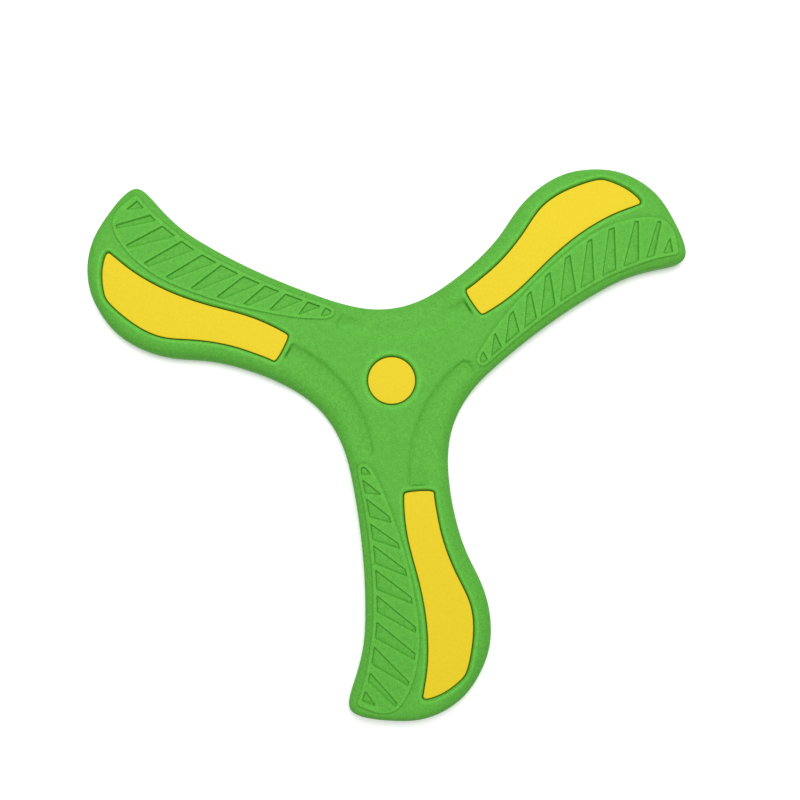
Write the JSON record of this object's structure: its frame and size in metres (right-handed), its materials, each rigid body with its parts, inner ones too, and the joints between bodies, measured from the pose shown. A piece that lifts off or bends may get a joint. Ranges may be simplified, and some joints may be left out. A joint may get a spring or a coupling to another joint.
{
  "type": "three-bladed boomerang",
  "caption": "Soft foam returning boomerang with S-curved blades round a hub, a flat back, ribbed grip panels on the trailing sides, and foam inlays bonded into moulded pockets.",
  "frame": {"origin": "on the hub axis, at the flat back face that the boomerang rests on", "axes": "+Z along the hub axis, out of the decorated face; the first blade points along -Y and the others follow at 120 degree turns, seen from +Z anticlockwise; +X is to the right with the decorated face up"},
  "size_m": [0.2714, 0.2472, 0.009],
  "materials": {
    "body_foam": "moulded closed-cell EVA foam, matt skin with a fine mottled grain",
    "inlay_foam": "die-cut closed-cell EVA foam, smooth matt skin",
    "adhesive_film": "translucent contact adhesive"
  },
  "bodies": {
    "root": {"body": "body_foam", "hub_inlay": "inlay_foam", "hub_adhesive": "adhesive_film", "wing_inlay_1": "inlay_foam", "wing_inlay_2": "inlay_foam", "wing_inlay_3": "inlay_foam", "wing_adhesive_1": "adhesive_film", "wing_adhesive_2": "adhesive_film", "wing_adhesive_3": "adhesive_film"}
  },
  "joints": []
}
